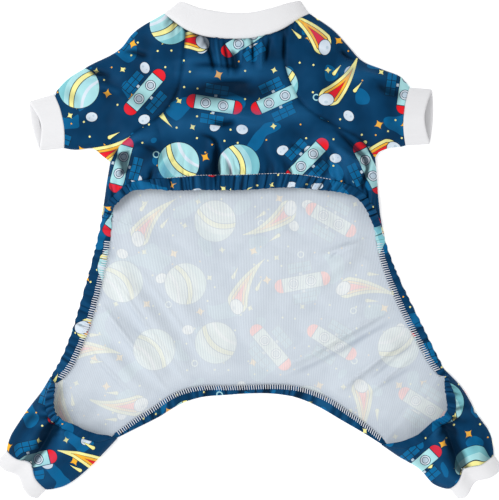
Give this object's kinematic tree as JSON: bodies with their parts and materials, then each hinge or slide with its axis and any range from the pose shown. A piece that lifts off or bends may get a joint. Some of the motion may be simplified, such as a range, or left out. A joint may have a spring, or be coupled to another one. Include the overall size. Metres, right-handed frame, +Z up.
{
  "type": "dog jumpsuit",
  "caption": "Small dog's jumpsuit of printed knit with raglan sleeves, rib neck and cuffs, elastic hems and an open belly, lying on its back with the belly side up.",
  "frame": {"origin": "under the middle of the lying suit, on the surface that it lies on", "axes": "+Z up, away from the surface and towards the belly side; +Y from the rump to the neck"},
  "size_m": [0.4252, 0.4242, 0.0224],
  "materials": {
    "printed_knit": "smooth brushed polyester knit, printed on a navy ground",
    "white_rib": "soft white rib knit"
  },
  "bodies": {
    "root": {"back_panel": "printed_knit", "belly_panel": "printed_knit", "belly_hem": "printed_knit", "sleeve_left": "printed_knit", "sleeve_right": "printed_knit", "flank_hem_left": "printed_knit", "flank_hem_right": "printed_knit", "rump_hem": "printed_knit", "leg_left": "printed_knit", "leg_right": "printed_knit", "leg_hem_left": "printed_knit", "leg_hem_right": "printed_knit", "neck_rib": "white_rib", "sleeve_cuff_left": "white_rib", "sleeve_cuff_right": "white_rib", "leg_cuff_left": "white_rib", "leg_cuff_right": "white_rib"}
  },
  "joints": []
}
